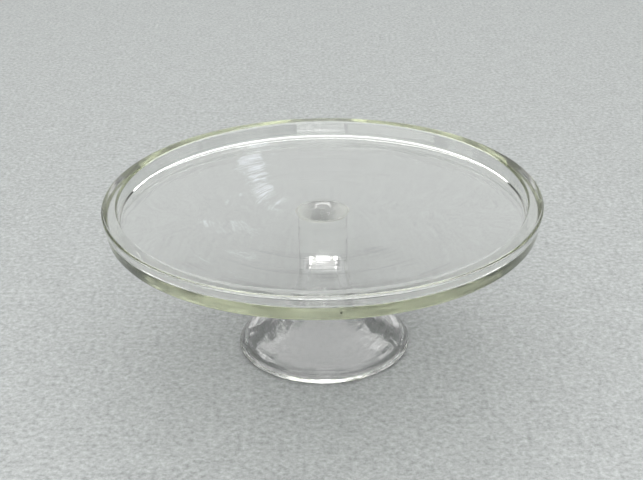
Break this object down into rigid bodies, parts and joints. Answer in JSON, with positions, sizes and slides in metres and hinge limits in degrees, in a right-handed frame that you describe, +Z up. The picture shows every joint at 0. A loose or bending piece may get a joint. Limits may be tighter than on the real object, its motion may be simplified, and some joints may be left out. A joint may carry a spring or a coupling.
{
  "type": "pedestal cake stand",
  "caption": "Clear pressed-glass pedestal cake stand: flat round plate with a raised rim on a solid stem that opens into a hollow bell foot.",
  "frame": {"origin": "centre of the foot's resting ring, on the surface the stand rests on", "axes": "+Z up along the stand's axis of revolution"},
  "size_m": [0.3, 0.3, 0.115],
  "materials": {
    "plate_glass": "clear fire-polished pressed glass with a faint grey-green tint that deepens to yellow-green through the rim",
    "pedestal_glass": "clear fire-polished pressed glass with chill wrinkles and mould seams"
  },
  "bodies": {
    "root": {"plate": "plate_glass", "pedestal": "pedestal_glass"}
  },
  "joints": []
}
